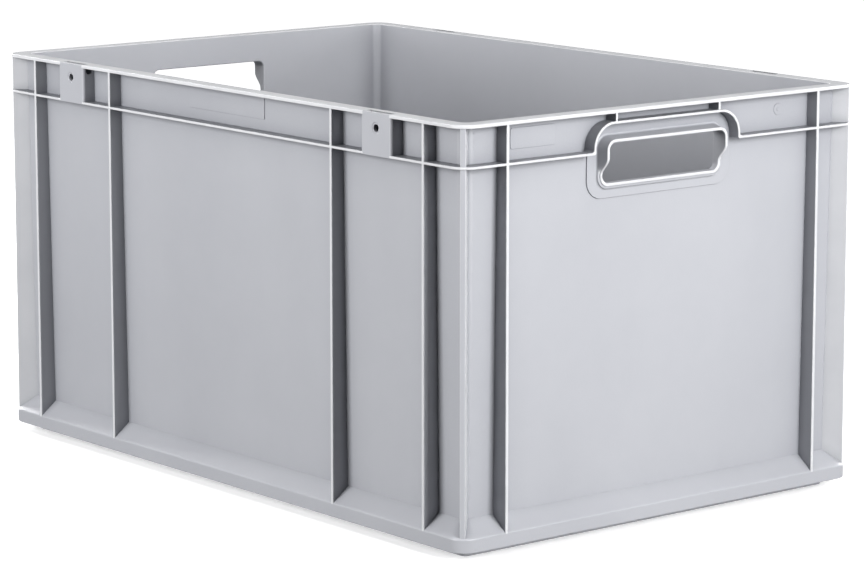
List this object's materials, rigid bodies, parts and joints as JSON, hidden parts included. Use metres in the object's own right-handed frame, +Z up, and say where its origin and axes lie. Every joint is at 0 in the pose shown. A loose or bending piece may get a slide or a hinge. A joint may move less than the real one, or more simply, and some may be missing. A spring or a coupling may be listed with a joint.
{
  "type": "stacking crate",
  "caption": "Open-topped stacking crate with tapered ribbed walls, a double rim, a hand hole in each end, lid hinge sockets and a recessed foot that nests in the rim of the crate below.",
  "frame": {"origin": "centre of the base, on the plane that the crate stands on", "axes": "+X along the long side, +Y across the width, +Z up; the front is the long side at -Y"},
  "size_m": [0.6, 0.4, 0.32],
  "materials": {
    "crate_plastic": "satin moulded polypropylene"
  },
  "bodies": {
    "root": {"base_rib_left": "crate_plastic", "base_rib_middle": "crate_plastic", "base_rib_right": "crate_plastic", "base_skirt_front": "crate_plastic", "base_skirt_left": "crate_plastic", "base_skirt_rear": "crate_plastic", "base_skirt_right": "crate_plastic", "corner_fin_front_left": "crate_plastic", "corner_fin_front_right": "crate_plastic", "corner_fin_rear_left": "crate_plastic", "corner_fin_rear_right": "crate_plastic", "floor_panel": "crate_plastic", "front_rib_left_inner": "crate_plastic", "front_rib_left_outer": "crate_plastic", "front_rib_right_inner": "crate_plastic", "front_rib_right_outer": "crate_plastic", "front_wall": "crate_plastic", "hinge_socket_front_left": "crate_plastic", "hinge_socket_front_right": "crate_plastic", "hinge_socket_rear_left": "crate_plastic", "hinge_socket_rear_right": "crate_plastic", "left_grip_arch": "crate_plastic", "left_grip_struts": "crate_plastic", "left_grip_surround": "crate_plastic", "left_grip_tube": "crate_plastic", "left_rib_front": "crate_plastic", "left_rib_rear": "crate_plastic", "left_wall": "crate_plastic", "lower_rim_front": "crate_plastic", "lower_rim_left_front": "crate_plastic", "lower_rim_left_rear": "crate_plastic", "lower_rim_rear": "crate_plastic", "lower_rim_right_front": "crate_plastic", "lower_rim_right_rear": "crate_plastic", "marking_plate": "crate_plastic", "rear_rib_left_inner": "crate_plastic", "rear_rib_left_outer": "crate_plastic", "rear_rib_right_inner": "crate_plastic", "rear_rib_right_outer": "crate_plastic", "rear_wall": "crate_plastic", "right_grip_arch": "crate_plastic", "right_grip_struts": "crate_plastic", "right_grip_surround": "crate_plastic", "right_grip_tube": "crate_plastic", "right_rib_front": "crate_plastic", "right_rib_rear": "crate_plastic", "right_wall": "crate_plastic", "stacking_foot_front": "crate_plastic", "stacking_foot_left": "crate_plastic", "stacking_foot_rear": "crate_plastic", "stacking_foot_right": "crate_plastic", "top_rim_front": "crate_plastic", "top_rim_left": "crate_plastic", "top_rim_rear": "crate_plastic", "top_rim_right": "crate_plastic"}
  },
  "joints": []
}
